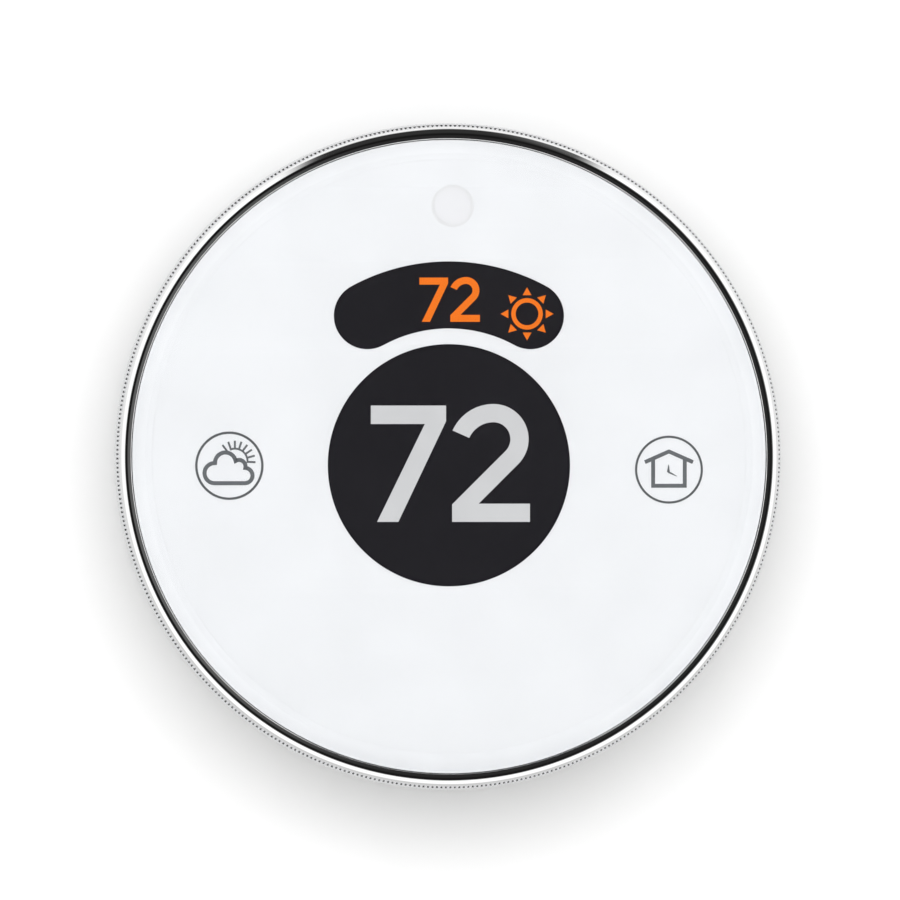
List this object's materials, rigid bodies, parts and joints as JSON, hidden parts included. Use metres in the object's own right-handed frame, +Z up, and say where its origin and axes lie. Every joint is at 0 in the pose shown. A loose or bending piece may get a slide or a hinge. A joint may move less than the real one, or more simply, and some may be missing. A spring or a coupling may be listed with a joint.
{
  "type": "wall thermostat",
  "caption": "Round wall thermostat: turning grip ring, domed window with display, and a plug-on head over a wall plate with push-in wire terminals.",
  "frame": {"origin": "middle of the four mounting holes, on the wall plate's back face", "axes": "+Z up the wall, the face looks along -Y, +X to the right of someone facing it"},
  "size_m": [0.0884, 0.028, 0.0884],
  "materials": {
    "window_clear": "clear, polished",
    "mask_white": "white, printed behind the window",
    "sensor_window": "milky",
    "display_black": "black, glossy",
    "film_clear": "thin clear sheet",
    "guide_acrylic": "milky acrylic",
    "frame_black": "moulded, fine texture",
    "flex_amber": "amber film",
    "housing_grey": "moulded",
    "chrome_bezel": "mirror polished",
    "grip_metal": "satin, finely ribbed",
    "gear_acetal": "natural acetal",
    "glide_white": "low-friction plastic",
    "board_green": "solder mask",
    "chip_black": "moulded package",
    "shield_can": "tinned sheet",
    "relay_case": "moulded",
    "sensor_can": "nickel plated",
    "capacitor_sleeve": "shrunk sleeve",
    "ferrite": "ferrite, dull",
    "halo_diffuser": "milky light guide",
    "led_body": "light emitting diode",
    "cover_white": "moulded, fine texture",
    "screw_steel": "zinc plated",
    "cell_sleeve": "printed sleeve, no text",
    "contact_nickel": "nickel plated spring steel",
    "contact_brass": "bright brass",
    "plate_white": "moulded, fine texture",
    "terminal_plastic": "moulded",
    "tab_grey": "moulded",
    "vial_clear": "clear, polished",
    "vial_liquid": "yellow green liquid",
    "link_blue": "moulded"
  },
  "bodies": {
    "wall_plate": {"wall_plate": "plate_white", "terminal_block_left": "terminal_plastic", "terminal_block_right": "terminal_plastic", "terminal_contacts_left": "contact_brass", "terminal_contacts_right": "contact_brass", "level_vial": "vial_clear", "level_liquid": "vial_liquid", "link_contact": "contact_brass", "latch_springs": "contact_nickel"},
    "head": {"face_lens": "window_clear", "face_mask": "mask_white", "touch_film": "film_clear", "motion_lens": "sensor_window", "lcd_panel": "display_black", "backlight_guide": "guide_acrylic", "display_frame": "frame_black", "display_ribbon": "flex_amber", "encoder_body": "chip_black", "front_housing": "housing_grey", "glide_ring": "glide_white", "main_board": "board_green", "processor": "chip_black", "radio_module": "shield_can", "output_relays": "relay_case", "sounder": "relay_case", "motion_sensor": "sensor_can", "climate_sensor": "chip_black", "backup_capacitor": "capacitor_sleeve", "power_inductor": "ferrite", "blade_headers": "terminal_plastic", "contact_blades_left": "contact_brass", "contact_blades_right": "contact_brass", "halo_light_ring": "halo_diffuser", "halo_leds": "led_body", "rear_cover": "cover_white", "battery_bay": "cover_white", "housing_screws": "screw_steel", "battery": "cell_sleeve", "battery_contact": "contact_nickel", "battery_spring": "contact_nickel", "door_pin": "screw_steel"},
    "control_ring": {"grip_ring": "grip_metal", "chrome_trim": "chrome_bezel", "gear_ring": "gear_acetal"},
    "encoder_pinion": {"encoder_pinion": "gear_acetal"},
    "battery_door": {"battery_door": "cover_white"},
    "link_slider": {"link_slider": "link_blue"},
    "push_tab_left_1": {"push_tab_left_1": "tab_grey"},
    "push_tab_left_2": {"push_tab_left_2": "tab_grey"},
    "push_tab_left_3": {"push_tab_left_3": "tab_grey"},
    "push_tab_left_4": {"push_tab_left_4": "tab_grey"},
    "push_tab_left_5": {"push_tab_left_5": "tab_grey"},
    "push_tab_right_1": {"push_tab_right_1": "tab_grey"},
    "push_tab_right_2": {"push_tab_right_2": "tab_grey"},
    "push_tab_right_3": {"push_tab_right_3": "tab_grey"},
    "push_tab_right_4": {"push_tab_right_4": "tab_grey"},
    "push_tab_right_5": {"push_tab_right_5": "tab_grey"}
  },
  "joints": [
    {"name": "head_pull", "type": "slide", "parent": "wall_plate", "child": "head", "axis": [0, -1, 0], "range_m": [0, 0.04]},
    {"name": "ring_turn", "type": "hinge", "parent": "head", "child": "control_ring", "pos_m": [0, -0.018, 0], "axis": [0, -1, 0], "continuous": true},
    {"name": "pinion_turn", "type": "hinge", "parent": "head", "child": "encoder_pinion", "pos_m": [0.02376, -0.013, 0.02376], "axis": [0, -1, 0], "continuous": true},
    {"name": "battery_door_hinge", "type": "hinge", "parent": "head", "child": "battery_door", "pos_m": [0, -0.0015, -0.03246], "axis": [-1, 0, 0], "range_deg": [0, 110]},
    {"name": "link_slide", "type": "slide", "parent": "wall_plate", "child": "link_slider", "axis": [1, 0, 0], "range_m": [0, 0.003]},
    {"name": "push_tab_left_1_press", "type": "slide", "parent": "wall_plate", "child": "push_tab_left_1", "axis": [0, 1, 0], "range_m": [0, 0.0012], "stiffness_N_per_m": 400, "deforming": ["terminal_contacts_left"]},
    {"name": "push_tab_left_2_press", "type": "slide", "parent": "wall_plate", "child": "push_tab_left_2", "axis": [0, 1, 0], "range_m": [0, 0.0012], "stiffness_N_per_m": 400, "deforming": ["terminal_contacts_left"]},
    {"name": "push_tab_left_3_press", "type": "slide", "parent": "wall_plate", "child": "push_tab_left_3", "axis": [0, 1, 0], "range_m": [0, 0.0012], "stiffness_N_per_m": 400, "deforming": ["terminal_contacts_left"]},
    {"name": "push_tab_left_4_press", "type": "slide", "parent": "wall_plate", "child": "push_tab_left_4", "axis": [0, 1, 0], "range_m": [0, 0.0012], "stiffness_N_per_m": 400, "deforming": ["terminal_contacts_left"]},
    {"name": "push_tab_left_5_press", "type": "slide", "parent": "wall_plate", "child": "push_tab_left_5", "axis": [0, 1, 0], "range_m": [0, 0.0012], "stiffness_N_per_m": 400, "deforming": ["terminal_contacts_left"]},
    {"name": "push_tab_right_1_press", "type": "slide", "parent": "wall_plate", "child": "push_tab_right_1", "axis": [0, 1, 0], "range_m": [0, 0.0012], "stiffness_N_per_m": 400, "deforming": ["terminal_contacts_right"]},
    {"name": "push_tab_right_2_press", "type": "slide", "parent": "wall_plate", "child": "push_tab_right_2", "axis": [0, 1, 0], "range_m": [0, 0.0012], "stiffness_N_per_m": 400, "deforming": ["terminal_contacts_right"]},
    {"name": "push_tab_right_3_press", "type": "slide", "parent": "wall_plate", "child": "push_tab_right_3", "axis": [0, 1, 0], "range_m": [0, 0.0012], "stiffness_N_per_m": 400, "deforming": ["terminal_contacts_right"]},
    {"name": "push_tab_right_4_press", "type": "slide", "parent": "wall_plate", "child": "push_tab_right_4", "axis": [0, 1, 0], "range_m": [0, 0.0012], "stiffness_N_per_m": 400, "deforming": ["terminal_contacts_right"]},
    {"name": "push_tab_right_5_press", "type": "slide", "parent": "wall_plate", "child": "push_tab_right_5", "axis": [0, 1, 0], "range_m": [0, 0.0012], "stiffness_N_per_m": 400, "deforming": ["terminal_contacts_right"]}
  ],
  "couplings": [
    {"joint": "pinion_turn", "follows": "ring_turn", "ratio": 8}
  ]
}
